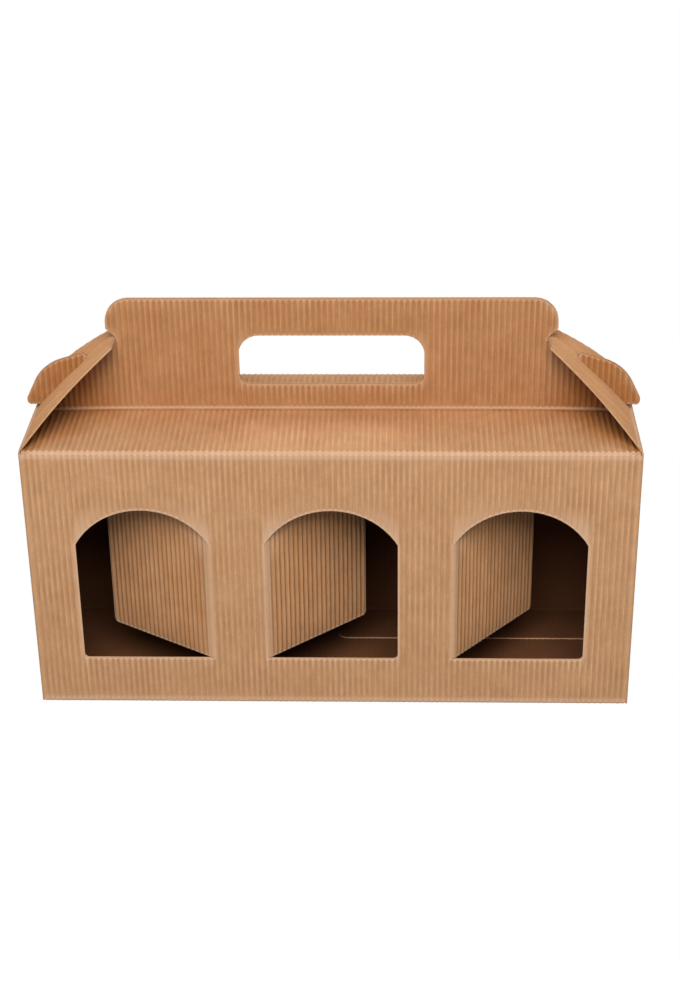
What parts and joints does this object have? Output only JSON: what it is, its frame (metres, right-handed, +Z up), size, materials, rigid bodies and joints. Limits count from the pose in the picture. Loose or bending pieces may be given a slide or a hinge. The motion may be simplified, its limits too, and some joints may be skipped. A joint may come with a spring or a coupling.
{
  "type": "bottle gift box",
  "caption": "Carrying gift box of single-face corrugated kraft board with arched front windows, folded-in window flaps, slit end flaps and a double carrying handle.",
  "frame": {"origin": "centre of the base, on the surface that the box stands on", "axes": "+X along the length, -Y towards the front with the windows, +Z up"},
  "size_m": [0.2534, 0.078, 0.17],
  "materials": {
    "kraft_board": "matte open-flute kraft board"
  },
  "bodies": {
    "carton": {"carton": "kraft_board"},
    "left_window_flap": {"left_window_flap": "kraft_board"},
    "middle_window_flap": {"middle_window_flap": "kraft_board"},
    "right_window_flap": {"right_window_flap": "kraft_board"},
    "left_end_flap": {"left_end_flap": "kraft_board"},
    "right_end_flap": {"right_end_flap": "kraft_board"}
  },
  "joints": [
    {"name": "left_end_flap_hinge", "type": "hinge", "parent": "carton", "child": "left_end_flap", "pos_m": [-0.1244, 0, 0.1199], "axis": [0, -1, 0], "range_deg": [0, 135]},
    {"name": "right_end_flap_hinge", "type": "hinge", "parent": "carton", "child": "right_end_flap", "pos_m": [0.1244, 0, 0.1199], "axis": [0, 1, 0], "range_deg": [0, 135]},
    {"name": "left_window_flap_hinge", "type": "hinge", "parent": "carton", "child": "left_window_flap", "pos_m": [-0.05095, -0.0384, 0.05], "axis": [0, 0, -1], "range_deg": [-33, 57]},
    {"name": "middle_window_flap_hinge", "type": "hinge", "parent": "carton", "child": "middle_window_flap", "pos_m": [-0.02645, -0.0384, 0.05], "axis": [0, 0, 1], "range_deg": [-42, 48]},
    {"name": "right_window_flap_hinge", "type": "hinge", "parent": "carton", "child": "right_window_flap", "pos_m": [0.05095, -0.0384, 0.05], "axis": [0, 0, 1], "range_deg": [-50, 40]}
  ]
}
